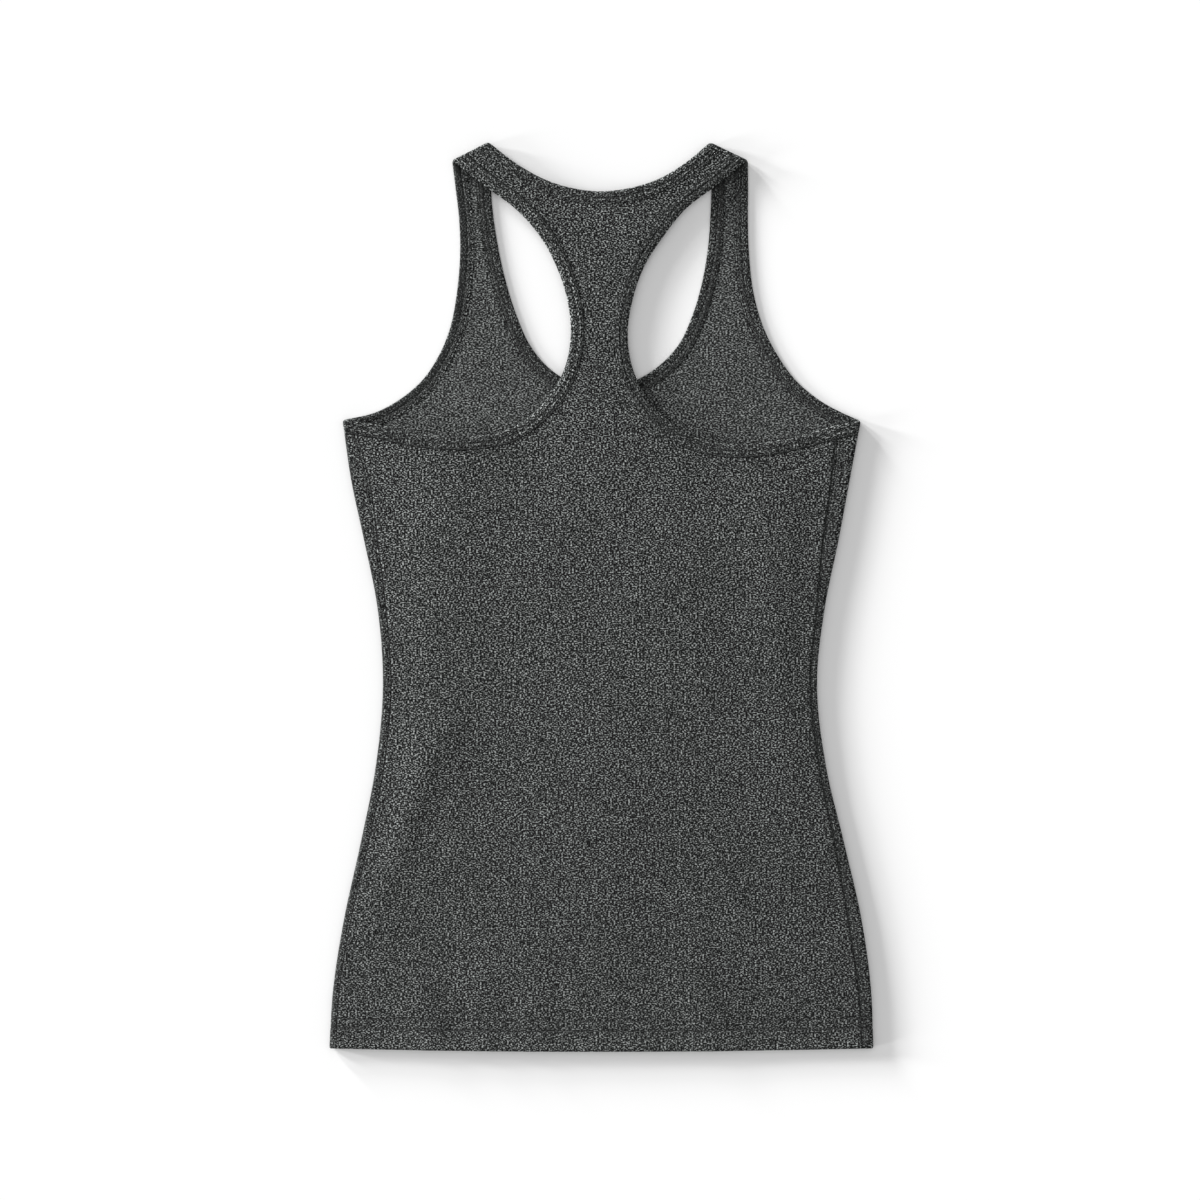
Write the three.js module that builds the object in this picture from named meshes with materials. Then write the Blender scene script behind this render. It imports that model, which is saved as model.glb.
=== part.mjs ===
// A women's racerback tank top in thin knit, laid flat with its back up.
// Millimetres: x to the right, y towards the shoulders, z up from the surface it lies on.
// Heights in the tables are measured from the hem, and x from the middle of the body.
// Each piece is a sheet of cloth with an outer and an inner face. The front lies on the surface
// and turns up round both side folds to the side seams. The back lies on it and turns down round
// the shoulder folds. A binding runs once round the neck and once round each armhole.

import * as THREE from "three";

// The whole garment
const BODY_LENGTH = 654.4;
const OUTLINE_MIDDLE = 0.25;

// Cloth, seams and hem
const CLOTH = 1.2;
const SEAM_GAP = 0.3;
const FOLD_GAP = 0.6;
const SHOULDER_SEAM = 6;
const HEM_DEPTH = 16.5;
const HEM_STEP = 0.8;
const HEM_TURN = 0.8;
const HEM_RISE = 2.3;

// Bindings: half their thickness at each place across them
const BINDING_WIDTH = 9;
const BINDING_HALF = 1;
const BINDING_SECTION = rows("across half", [0, 0.6], [2.5, 1], [6.5, 1], [9, 0.65]);

// How high the middle of the upper layer lies at a fold
const UPPER = 3.8;

// How finely the sheets are divided
const STATION_STEPS = 2;
const BEND_STEPS = 5;
const BODY_STEPS = 15;
const STRAP_COLUMNS = 4;
const LEAN_REACH = 15;

// The side folds, and how far behind each one the front is sewn to the back
const SIDES = rows(
  "height leftFold rightFold leftSeam rightSeam",
  [0, -195.6, 196.1, 3.5, 6.5],
  [45, -192.8, 194.3, 3.5, 7.5],
  [95, -185, 187.5, 4, 8],
  [150, -173, 175, 4.5, 5.5],
  [205, -162.2, 162, 5, 3.6],
  [265, -157, 155.5, 5, 3.5],
  [320, -161, 161.2, 5.5, 4.8],
  [370, -171, 171.4, 9.8, 11],
  [410, -179.6, 178.8, 13.5, 13.5],
  [454, -186, 187, 8.5, 18.5],
);

// The back's armhole edge, from the side fold under the arm to the shoulder fold
const BACK_ARMHOLE = rows(
  "leftX leftHeight rightX rightHeight",
  [-186, 454.2, 187, 453.6],
  [-177.5, 453, 168.5, 450],
  [-157, 450, 146, 443.8],
  [-134.5, 444.6, 123, 438.8],
  [-111, 442.2, 99.5, 436.6],
  [-87, 442.8, 79, 438.5],
  [-66, 447.5, 60, 445],
  [-48, 459.5, 43.5, 458],
  [-34, 475.5, 30.5, 474],
  [-25, 494.5, 21.8, 494],
  [-21.5, 517.5, 19, 517.5],
  [-24, 540.5, 22.5, 540.5],
  [-31.5, 564, 30.5, 564],
  [-44, 587, 45, 587],
  [-61, 606, 61, 606.5],
  [-84, 623.3, 82.5, 623],
  [-107, 641.5, 105.5, 641.5],
);
const SEAM_STATION = 1;
const RACERBACK_STATION = 6;

// The front's armhole edge, from the side fold to the shoulder fold
const FRONT_ARMHOLE = rows(
  "leftX leftHeight rightX rightHeight",
  [-186, 454.2, 187, 453.6],
  [-163, 459.5, 172.5, 460],
  [-145, 469, 156.5, 469],
  [-128.5, 483, 140, 483],
  [-117, 500, 127.5, 500],
  [-108.5, 520.5, 117, 520.5],
  [-103.5, 546.5, 109.5, 546.5],
  [-101.2, 575, 106.3, 575],
  [-102, 600, 105.5, 600],
  [-104.3, 620, 105.7, 620],
  [-107, 641.5, 105.5, 641.5],
);

// The neckline's edges, from the middle to the shoulder folds
const BACK_NECK = rows(
  "leftX leftHeight rightX rightHeight",
  [-0.5, 618.6, -0.5, 618.6],
  [-20.5, 620.9, 20, 620.9],
  [-40.5, 627.2, 40.5, 627.1],
  [-61, 638.6, 60, 638.5],
  [-81.5, 654.4, 79, 654.2],
);
const FRONT_NECK = rows(
  "leftX leftHeight rightX rightHeight",
  [-0.5, 477.3, -0.5, 477.3],
  [-20, 480.9, 20, 480.9],
  [-38, 492, 39, 491],
  [-51.5, 508.5, 56, 508.5],
  [-61.5, 531, 66.5, 531],
  [-69, 555, 73.3, 555],
  [-74.3, 579, 77.3, 579],
  [-78, 603, 79.1, 603],
  [-80, 628, 79.9, 628],
  [-81.5, 654.4, 79, 654.2],
);

// Where the body ends at the middle, and how the rows above it crowd towards the racerback
const BACK_BODY_TOP = 428;
const FRONT_BODY_TOP = 446;
const ROW_CROWDING = 0.25;

// Soft creases that raise the upper layer, each along a line between two places
const CREASES = rows(
  "fromX fromHeight toX toHeight width rise",
  [0, 60, 0, 380, 95, 0.9],
  [-106, 432, -150, 150, 24, 1.3],
  [-110, 238, -176, 92, 13, 0.9],
  [-128, 40, -122, 6, 11, 1.5],
  [-88, 46, -84, 4, 13, 1.2],
  [-52, 36, -50, 4, 10, 0.9],
  [120, 395, 146, 215, 20, 0.8],
  [70, 60, 82, 5, 16, 0.8],
  [-28, 470, 26, 452, 15, 0.7],
);
// The creases die out between these distances from a fold
const CREASE_START = 6;
const CREASE_FULL = 34;

const KNIT = { color: 0x4b4d4c, roughness: 0.95, metalness: 0 };
const BINDING_KNIT = { color: 0x464847, roughness: 0.95, metalness: 0 };

const { clamp, lerp, smoothstep } = THREE.MathUtils;
const at = (x, y, z = 0) => new THREE.Vector3(x, y, z);
const mix = (a, b, share) => a.clone().lerp(b, share);

// A table's rows, with their columns by name
function rows(columns, ...values) {
  const names = columns.split(" ");
  return values.map((row) => Object.fromEntries(names.map((name, i) => [name, row[i]])));
}
const station = (table, side, i) => at(table.at(i)[`${side}X`], table.at(i)[`${side}Height`]);
const stationsOf = (table, side) => table.map((_, i) => station(table, side, i));

// The side folds and seams at any height, on smooth curves through the table
const SIDE_COLUMNS = ["leftFold", "rightFold", "leftSeam", "rightSeam"];
const UNDERARM = SIDES.at(-1).height;
const sideCurves = new THREE.CubicInterpolant(
  SIDES.map((row) => row.height),
  SIDES.flatMap((row) => SIDE_COLUMNS.map((name) => row[name])),
  SIDE_COLUMNS.length,
);
function sidesAt(height) {
  const values = sideCurves.evaluate(clamp(height, 0, UNDERARM));
  return Object.fromEntries(SIDE_COLUMNS.map((name, i) => [name, values[i]]));
}

// A straight fold through two places, with the way along it and the way into the garment
function foldLine(start, end) {
  const along = end.clone().sub(start).normalize();
  const into = at(along.y, -along.x);
  if (into.dot(at(0, BODY_LENGTH / 2).sub(start)) < 0) into.negate();
  return { start, along, into };
}
const distanceTo = (line, point) => line.into.dot(point.clone().sub(line.start));
const placeAlong = (line, point) => line.along.dot(point.clone().sub(line.start));

// Both garment sides, with the way to the middle and the folds that the bindings cross
const TANGENT_SPAN = 20;
const GARMENT_SIDES = [
  { name: "left", inward: 1 },
  { name: "right", inward: -1 },
];
for (const side of GARMENT_SIDES) {
  const arm = station(BACK_ARMHOLE, side.name, 0);
  const below = UNDERARM - TANGENT_SPAN;
  side.armFold = foldLine(arm, at(sidesAt(below)[`${side.name}Fold`], below));
  const outer = station(BACK_ARMHOLE, side.name, -1);
  side.shoulderFold = foldLine(outer, station(BACK_NECK, side.name, -1));
}
const [LEFT, RIGHT] = GARMENT_SIDES;

// How high the middle of the upper layer lies: level beside the folds, creased inside them
function upperHeight(point) {
  const { leftFold, rightFold } = sidesAt(point.y);
  const inside = Math.min(
    point.x - leftFold,
    rightFold - point.x,
    distanceTo(LEFT.shoulderFold, point),
    distanceTo(RIGHT.shoulderFold, point),
  );
  let rise = 0;
  for (const crease of CREASES) {
    const line = new THREE.Line3(
      at(crease.fromX, crease.fromHeight),
      at(crease.toX, crease.toHeight),
    );
    const away = line.closestPointToPoint(point, true, at(0, 0)).distanceTo(point);
    rise += crease.rise * Math.exp(-((away / crease.width) ** 2));
  }
  return UPPER + smoothstep(inside, CREASE_START, CREASE_FULL) * rise;
}

// One place on a sheet: its middle, the way to its outer face, and its reach to both faces
const place = (mid, out, outer, inner = outer) => ({ mid, out, outer, inner });
const onUpper = (point, outer, inner) =>
  place(at(point.x, point.y, upperHeight(point)), at(0, 0, 1), outer, inner);
const onLower = (point, rest, outer, inner) =>
  place(at(point.x, point.y, rest), at(0, 0, -1), outer, inner);

// The way round a fold: how far round each step is, and its angle over the fold's axis
const BENDS = Array.from({ length: BEND_STEPS - 1 }, (_, i) => {
  const share = (i + 1) / BEND_STEPS;
  return { share, angle: Math.PI * (0.5 - share) };
});
const bendDepth = (rest) => (UPPER - rest) / 2 + rest;

// A place on the bend, for a sheet whose middle rests at the given height on the lower layer
function onBend(edge, into, rest, angle, outer, inner) {
  const radius = (UPPER - rest) / 2;
  const out = into.clone().multiplyScalar(-Math.cos(angle)).setZ(Math.sin(angle));
  const mid = edge.clone().addScaledVector(into, radius + rest).addScaledVector(out, radius);
  mid.z += (UPPER + rest) / 2;
  return place(mid, out, outer, inner);
}

// Rows round a straight fold, from a row of the upper layer to one of the lower
function bendRows(line, upper, lower, rest, reach) {
  return BENDS.map(({ share, angle }) =>
    upper.map((point, i) => {
      const along = lerp(placeAlong(line, point), placeAlong(line, lower[i]), share);
      const edge = line.start.clone().addScaledVector(line.along, along);
      return onBend(edge, line.into, rest, angle, reach[i]);
    }),
  );
}

// A sheet of quads that share their places, made into one closed solid
class Sheet {
  places = [];
  quads = [];
  known = new Map();

  index(spot) {
    const key = spot.mid.toArray().map((value) => value.toFixed(3)).join();
    if (!this.known.has(key)) this.known.set(key, this.places.push(spot) - 1);
    return this.known.get(key);
  }

  // Rows of places, each beside the next
  add(grid) {
    const ids = grid.map((row) => row.map((spot) => this.index(spot)));
    for (let j = 0; j + 1 < ids.length; j++) {
      for (let i = 0; i + 1 < ids[j].length; i++) {
        this.addQuad([ids[j][i], ids[j][i + 1], ids[j + 1][i + 1], ids[j + 1][i]]);
      }
    }
  }

  // The corners are turned to run anticlockwise as seen from outside.
  addQuad(quad) {
    const [a, b, c, d] = quad.map((id) => this.places[id].mid);
    const facing = c.clone().sub(a).cross(d.clone().sub(b));
    this.quads.push(facing.dot(this.places[quad[0]].out) > 0 ? quad : quad.reverse());
  }

  // Both faces, with a wall along every free edge
  geometry() {
    const count = this.places.length;
    const reach = (spot, length) => spot.mid.clone().addScaledVector(spot.out, length).toArray();
    const outer = this.places.flatMap((spot) => reach(spot, spot.outer));
    const inner = this.places.flatMap((spot) => reach(spot, -spot.inner));
    const triangles = [];
    const free = new Map();
    for (const quad of this.quads) {
      const [a, b, c, d] = quad;
      const [e, f, g, h] = quad.map((id) => id + count);
      triangles.push(a, b, c, a, c, d, e, g, f, e, h, g);
      quad.forEach((from, i) => {
        const to = quad[(i + 1) % quad.length];
        if (!free.delete(`${to},${from}`)) free.set(`${from},${to}`, [from, to]);
      });
    }
    for (const [from, to] of free.values()) {
      triangles.push(to, from, count + from, to, count + from, count + to);
    }
    const geometry = new THREE.BufferGeometry();
    geometry.setAttribute("position", new THREE.Float32BufferAttribute([...outer, ...inner], 3));
    geometry.setIndex(triangles);
    geometry.computeVertexNormals();
    return geometry;
  }
}

// One edge of the garment on one layer, with the way across the cloth at each of its points.
// It ends where the bend of its folds begins. The way across leans over to run along the fold there.
function edgeCurve(stations, turn, startFold, endFold) {
  const curve = new THREE.CatmullRomCurve3(stations);
  const points = curve.getPoints((stations.length - 1) * STATION_STEPS);
  const ends = [
    { last: 0, next: 1, line: startFold },
    { last: points.length - 1, next: points.length - 2, line: endFold },
  ];
  for (const { last, next, line } of ends) {
    const share = bendDepth(BINDING_HALF) / distanceTo(line, points[next]);
    points[last] = mix(points[last], points[next], share);
  }
  return points.map((point, k) => {
    const before = points[Math.max(k - 1, 0)];
    const after = points[Math.min(k + 1, points.length - 1)];
    const run = after.clone().sub(before).normalize();
    const across = at(-run.y, run.x).multiplyScalar(turn);
    for (const line of [startFold, endFold]) {
      const away = (distanceTo(line, point) - bendDepth(BINDING_HALF)) / LEAN_REACH;
      const leaning = line.along.clone().divideScalar(across.dot(line.along));
      across.lerp(leaning, clamp(1 - away, 0, 1));
    }
    return { point, across, atFold: k === 0 || k === points.length - 1 };
  });
}
const inset = ({ point, across }, width) => point.clone().addScaledVector(across, width);

// A panel's edge along its binding, with more room where both turn round a fold
const panelEdge = (edge) =>
  edge.map((spot) => inset(spot, BINDING_WIDTH + (spot.atFold ? FOLD_GAP : SEAM_GAP)));

// The armhole edges run from the side fold to the shoulder, the neck's from left to right.
for (const side of GARMENT_SIDES) {
  const folds = [side.armFold, side.shoulderFold];
  side.backArm = edgeCurve(stationsOf(BACK_ARMHOLE, side.name), -side.inward, ...folds);
  side.frontArm = edgeCurve(stationsOf(FRONT_ARMHOLE, side.name), -side.inward, ...folds);
}
function neckEdge(table) {
  const stations = [...stationsOf(table, "left").reverse(), ...stationsOf(table, "right").slice(1)];
  return edgeCurve(stations, -1, LEFT.shoulderFold, RIGHT.shoulderFold);
}
const backNeck = neckEdge(BACK_NECK);
const frontNeck = neckEdge(FRONT_NECK);
for (const side of GARMENT_SIDES) {
  const half = (edge) => {
    const middle = (edge.length - 1) / 2;
    return side === LEFT ? edge.slice(0, middle + 1).reverse() : edge.slice(middle);
  };
  side.backNeck = half(backNeck);
  side.frontNeck = half(frontNeck);
}

// Rows from an armhole edge to the middle line, and past its end to the neck
function strapRows(arm, neck, bodyTop) {
  const middleRows = arm.length - neck.length;
  const inner = Array.from({ length: middleRows }, (_, k) => {
    const share = k / middleRows;
    const rise = share * (1 - ROW_CROWDING + ROW_CROWDING * share);
    return at(neck[0].x, lerp(bodyTop, neck[0].y, rise));
  });
  return [...inner, ...neck].map((point, k) => acrossRow(arm[k], point));
}
const acrossRow = (from, to) =>
  Array.from({ length: STRAP_COLUMNS + 1 }, (_, j) => mix(from, to, j / STRAP_COLUMNS));

// The front strap's row at a distance from the shoulder fold
function frontStrapRow(side, distance) {
  const ends = [side.frontArm, side.frontNeck].map((edge) => {
    const [before, last] = panelEdge(edge.slice(-2));
    const from = distanceTo(side.shoulderFold, last);
    const to = distanceTo(side.shoulderFold, before);
    return mix(last, before, (distance - from) / (to - from));
  });
  return acrossRow(...ends);
}

// Heights up one column of the body: the hem, the step to single cloth, then even steps
function columnHeights(width, top) {
  const bottom = HEM_RISE * (2 * width - 1) ** 2;
  const single = bottom + HEM_DEPTH + HEM_STEP;
  const steps = Array.from({ length: BODY_STEPS }, (_, i) => lerp(single, top, (i + 1) / BODY_STEPS));
  return [bottom, bottom + HEM_DEPTH, single, ...steps];
}
const HEM_ROWS = 2;
const clothInner = (row) => CLOTH / 2 + (row < HEM_ROWS ? HEM_TURN : 0);

// The side seam meets the armhole binding at its seam station.
function seamAt(side, height) {
  const top = panelEdge(side.backArm)[SEAM_STATION * STATION_STEPS];
  const x = (y) => sidesAt(y)[`${side.name}Fold`] + side.inward * sidesAt(y)[`${side.name}Seam`];
  return x(height) + (top.x - x(top.y)) * (height / top.y) ** 4;
}
// A seam's side: the armhole point at the seam, moved half the gap towards its neighbour
const seamCorner = (seam, neighbour) =>
  mix(seam, neighbour, SEAM_GAP / 2 / Math.abs(neighbour.x - seam.x));
const inWidth = (x, left, right) => (x - left) / (right - left);

// A body's rows, from its columns' tops and the ends of its rows at each height
function bodyRows(tops, leftEnd, rightEnd, make) {
  const columns = tops.map((top) => {
    const width = inWidth(top.x, leftEnd(top.y), rightEnd(top.y));
    return columnHeights(width, top.y).map((height, row) =>
      make(at(lerp(leftEnd(height), rightEnd(height), width), height), row),
    );
  });
  return columns[0].map((_, row) => columns.map((column) => column[row]));
}

function backPanel() {
  const sheet = new Sheet();
  const upper = (point, row = HEM_ROWS) => onUpper(point, CLOTH / 2, clothInner(row));
  const first = SEAM_STATION * STATION_STEPS;
  const racerback = RACERBACK_STATION * STATION_STEPS;
  const tops = GARMENT_SIDES.map((side) => {
    const arm = panelEdge(side.backArm);
    const strap = strapRows(arm.slice(racerback), panelEdge(side.backNeck), BACK_BODY_TOP);
    const upperEnd = strap.at(-1);
    const lowerEnd = frontStrapRow(side, distanceTo(side.shoulderFold, upperEnd[0]));
    const seam = frontStrapRow(side, SHOULDER_SEAM);
    const reach = upperEnd.map(() => CLOTH / 2);
    sheet.add([
      ...strap.map((row) => row.map((point) => upper(point))),
      ...bendRows(side.shoulderFold, upperEnd, lowerEnd, CLOTH / 2, reach),
      ...[lowerEnd, seam].map((row) => row.map((point) => onLower(point, CLOTH / 2, CLOTH / 2))),
    ]);
    const lowerArm = arm.slice(first + 1, racerback);
    return [seamCorner(arm[first], arm[first + 1]), ...lowerArm, ...strap[0]];
  });
  sheet.add(
    bodyRows(
      [...tops[0], ...tops[1].reverse().slice(1)],
      (height) => seamAt(LEFT, height) + SEAM_GAP / 2,
      (height) => seamAt(RIGHT, height) - SEAM_GAP / 2,
      upper,
    ),
  );
  return sheet.geometry();
}

function frontPanel() {
  const sheet = new Sheet();
  const rest = CLOTH / 2;
  const depth = bendDepth(rest);
  const lower = (point, row = HEM_ROWS) => onLower(point, rest, CLOTH / 2, clothInner(row));
  const foldAt = (side, height) => sidesAt(height)[`${side.name}Fold`];
  const tops = GARMENT_SIDES.map((side) => {
    const strap = strapRows(panelEdge(side.frontArm), panelEdge(side.frontNeck), FRONT_BODY_TOP);
    strap[strap.length - 1] = frontStrapRow(side, SHOULDER_SEAM + SEAM_GAP);
    sheet.add(strap.map((row) => row.map((point) => lower(point))));
    return strap[0];
  });
  const middle = bodyRows(
    [...tops[0], ...tops[1].slice().reverse().slice(1)],
    (height) => foldAt(LEFT, height) + depth,
    (height) => foldAt(RIGHT, height) - depth,
    lower,
  );
  sheet.add(middle);

  // The turned-up strip behind each side fold, from the seam round to the lower layer
  GARMENT_SIDES.forEach((side, i) => {
    const seamIndex = SEAM_STATION * STATION_STEPS;
    const arm = panelEdge(side.backArm).slice(0, seamIndex + 1);
    const flapTops = [...arm.slice(0, -1), seamCorner(arm[seamIndex], arm[seamIndex - 1])];
    const width = side === LEFT ? 0 : 1;
    const flap = flapTops.map((top) => {
      const ends = (y) => [
        foldAt(side, y) + side.inward * depth,
        seamAt(side, y) - (side.inward * SEAM_GAP) / 2,
      ];
      const share = inWidth(top.x, ...ends(top.y));
      return columnHeights(width, top.y).map((height, row) =>
        onUpper(at(lerp(...ends(height), share), height), CLOTH / 2, clothInner(row)),
      );
    });
    const bend = BENDS.map(({ share, angle }) => {
      const top = lerp(flapTops[0].y, tops[i][0].y, share);
      return columnHeights(width, top).map((height, row) =>
        onBend(
          at(foldAt(side, height), height),
          at(side.inward, 0),
          rest,
          angle,
          CLOTH / 2,
          clothInner(row),
        ),
      );
    });
    const lowerColumn = middle.map((row) => row.at(side === LEFT ? 0 : -1));
    sheet.add([...flap.reverse(), ...bend, lowerColumn]);
  });
  return sheet.geometry();
}

// Rings of a binding along one edge, on the upper or the lower layer
const bindingPoints = (spot) => BINDING_SECTION.map(({ across }) => inset(spot, across));
const upperRing = (spot) =>
  bindingPoints(spot).map((point, i) => onUpper(point, BINDING_SECTION[i].half));
const lowerRing = (spot) =>
  bindingPoints(spot).map((point, i) => onLower(point, BINDING_HALF, BINDING_SECTION[i].half));
const bindingBend = (line, upperSpot, lowerSpot) =>
  bendRows(
    line,
    bindingPoints(upperSpot),
    bindingPoints(lowerSpot),
    BINDING_HALF,
    BINDING_SECTION.map(({ half }) => half),
  );

function binding(rings) {
  const sheet = new Sheet();
  sheet.add([...rings, rings[0]]);
  return sheet.geometry();
}

const armholeBinding = ({ backArm, frontArm, armFold, shoulderFold }) =>
  binding([
    ...backArm.map(upperRing),
    ...bindingBend(shoulderFold, backArm.at(-1), frontArm.at(-1)),
    ...frontArm.map(lowerRing).reverse(),
    ...bindingBend(armFold, backArm[0], frontArm[0]).reverse(),
  ]);

const neckBinding = () =>
  binding([
    ...backNeck.map(upperRing),
    ...bindingBend(RIGHT.shoulderFold, backNeck.at(-1), frontNeck.at(-1)),
    ...frontNeck.map(lowerRing).reverse(),
    ...bindingBend(LEFT.shoulderFold, backNeck[0], frontNeck[0]).reverse(),
  ]);

const tankTop = new THREE.Group();
tankTop.position.set(-OUTLINE_MIDDLE, -BODY_LENGTH / 2, 0);

function addPiece(name, geometry, look) {
  const piece = new THREE.Mesh(geometry, new THREE.MeshStandardMaterial(look));
  piece.name = name;
  tankTop.add(piece);
}
addPiece("front_panel", frontPanel(), KNIT);
addPiece("back_panel", backPanel(), KNIT);
addPiece("neck_binding", neckBinding(), BINDING_KNIT);
for (const side of GARMENT_SIDES) {
  addPiece(`armhole_binding_${side.name}`, armholeBinding(side), BINDING_KNIT);
}

export default tankTop;
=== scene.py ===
import math

import bpy
import numpy as np
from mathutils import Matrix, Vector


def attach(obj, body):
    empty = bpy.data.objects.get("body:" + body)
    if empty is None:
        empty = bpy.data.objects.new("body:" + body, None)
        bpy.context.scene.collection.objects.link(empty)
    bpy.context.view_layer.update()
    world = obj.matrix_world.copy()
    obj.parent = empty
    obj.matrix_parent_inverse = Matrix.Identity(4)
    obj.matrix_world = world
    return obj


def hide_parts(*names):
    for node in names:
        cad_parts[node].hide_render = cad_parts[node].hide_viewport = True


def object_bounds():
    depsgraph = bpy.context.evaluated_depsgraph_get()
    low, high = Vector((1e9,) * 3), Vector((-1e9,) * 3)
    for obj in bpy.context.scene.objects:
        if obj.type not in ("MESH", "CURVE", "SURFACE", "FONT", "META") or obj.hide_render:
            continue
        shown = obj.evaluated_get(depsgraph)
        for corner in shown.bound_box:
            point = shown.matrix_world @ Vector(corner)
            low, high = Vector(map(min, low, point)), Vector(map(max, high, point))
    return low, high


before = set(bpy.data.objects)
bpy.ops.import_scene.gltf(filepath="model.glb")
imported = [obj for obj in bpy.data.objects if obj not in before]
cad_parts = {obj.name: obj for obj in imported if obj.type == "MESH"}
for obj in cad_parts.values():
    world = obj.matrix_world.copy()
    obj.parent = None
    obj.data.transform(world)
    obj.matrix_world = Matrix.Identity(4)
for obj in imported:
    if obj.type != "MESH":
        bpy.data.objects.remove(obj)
cad_low, cad_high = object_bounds()

# A women's racerback tank top in thin heather knit, laid flat with its back up.
# The shapes are worked out in millimetres, with x from the middle of the body to the right and
# heights from the hem up, and turned into metres when a mesh is made.
MM = 0.001
OUTLINE_MIDDLE = 0.25
BODY_LENGTH = (cad_high.y - cad_low.y) / MM

# Cloth, seams and hem
CLOTH = 1.2
PLY = 0.5
SHOULDER_SEAM = 6
HEM_RISE = 2.3
BINDING_WIDTH = 9
BINDING_HALF = 1
TUCK = 1.2
TUCKED_HALF = 0.25

# How high the middle of the upper layer lies at a fold
UPPER = 3.8

# How finely the cloth is divided
STATION_STEPS = 10
BAND_STEPS = 16
BEND_STEPS = 8
BODY_STEPS = 150
STRAP_COLUMNS = 18
FLAP_COLUMNS = 8
COLUMN_STEP = 2.4
EDGE_STEP = 2.7
LEAN_REACH = 15


def table(columns, *rows):
    """A short table, as a dictionary of its named columns."""
    return dict(zip(columns.split(), np.array(rows, dtype=float).T))


# The side folds, and how far behind each one the front is sewn to the back
SIDES = table(
    "height left_fold right_fold left_seam right_seam",
    [0, -195.6, 196.1, 3.5, 6.5],
    [45, -192.8, 194.3, 3.5, 7.5],
    [95, -185, 187.5, 4, 8],
    [150, -173, 175, 4.5, 5.5],
    [205, -162.2, 162, 5, 3.6],
    [265, -157, 155.5, 5, 3.5],
    [320, -161, 161.2, 5.5, 4.8],
    [370, -171, 171.4, 9.8, 11],
    [410, -179.6, 178.8, 13.5, 13.5],
    [454, -186, 187, 8.5, 18.5],
)

# The back's armhole edge, from the side fold under the arm to the shoulder fold
BACK_ARMHOLE = table(
    "left_x left_height right_x right_height",
    [-186, 454.2, 187, 453.6],
    [-177.5, 453, 168.5, 450],
    [-157, 450, 146, 443.8],
    [-134.5, 444.6, 123, 438.8],
    [-111, 442.2, 99.5, 436.6],
    [-87, 442.8, 79, 438.5],
    [-66, 447.5, 60, 445],
    [-48, 459.5, 43.5, 458],
    [-34, 475.5, 30.5, 474],
    [-25, 494.5, 21.8, 494],
    [-21.5, 517.5, 19, 517.5],
    [-24, 540.5, 22.5, 540.5],
    [-31.5, 564, 30.5, 564],
    [-44, 587, 45, 587],
    [-61, 606, 61, 606.5],
    [-84, 623.3, 82.5, 623],
    [-107, 641.5, 105.5, 641.5],
)
SEAM_STATION = 1
RACERBACK_STATION = 6

# The front's armhole edge, from the side fold to the shoulder fold
FRONT_ARMHOLE = table(
    "left_x left_height right_x right_height",
    [-186, 454.2, 187, 453.6],
    [-163, 459.5, 172.5, 460],
    [-145, 469, 156.5, 469],
    [-128.5, 483, 140, 483],
    [-117, 500, 127.5, 500],
    [-108.5, 520.5, 117, 520.5],
    [-103.5, 546.5, 109.5, 546.5],
    [-101.2, 575, 106.3, 575],
    [-102, 600, 105.5, 600],
    [-104.3, 620, 105.7, 620],
    [-107, 641.5, 105.5, 641.5],
)

# The neckline's edges, from the middle to the shoulder folds
BACK_NECK = table(
    "left_x left_height right_x right_height",
    [-0.5, 618.6, -0.5, 618.6],
    [-20.5, 620.9, 20, 620.9],
    [-40.5, 627.2, 40.5, 627.1],
    [-61, 638.6, 60, 638.5],
    [-81.5, 654.4, 79, 654.2],
)
FRONT_NECK = table(
    "left_x left_height right_x right_height",
    [-0.5, 477.3, -0.5, 477.3],
    [-20, 480.9, 20, 480.9],
    [-38, 492, 39, 491],
    [-51.5, 508.5, 56, 508.5],
    [-61.5, 531, 66.5, 531],
    [-69, 555, 73.3, 555],
    [-74.3, 579, 77.3, 579],
    [-78, 603, 79.1, 603],
    [-80, 628, 79.9, 628],
    [-81.5, 654.4, 79, 654.2],
)

# Where the body ends at the middle, and how the rows above it crowd towards the racerback
BACK_BODY_TOP = 428
FRONT_BODY_TOP = 446
ROW_CROWDING = 0.25

# Soft creases that raise the upper layer, each along a line between two places
CREASES = table(
    "from_x from_height to_x to_height width rise",
    [0, 60, 0, 380, 95, 0.9],
    [-106, 432, -150, 150, 34, 1.2],
    [-110, 238, -176, 92, 13, 0.9],
    [-128, 40, -122, 6, 13, 0.9],
    [-88, 46, -84, 4, 14, 0.7],
    [-52, 36, -50, 4, 11, 0.6],
    [120, 395, 146, 215, 20, 0.8],
    [70, 60, 82, 5, 16, 0.8],
    [-28, 470, 26, 452, 15, 0.7],
)
# The creases die out between these distances from a fold
CREASE_START = 6
CREASE_FULL = 34

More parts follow.
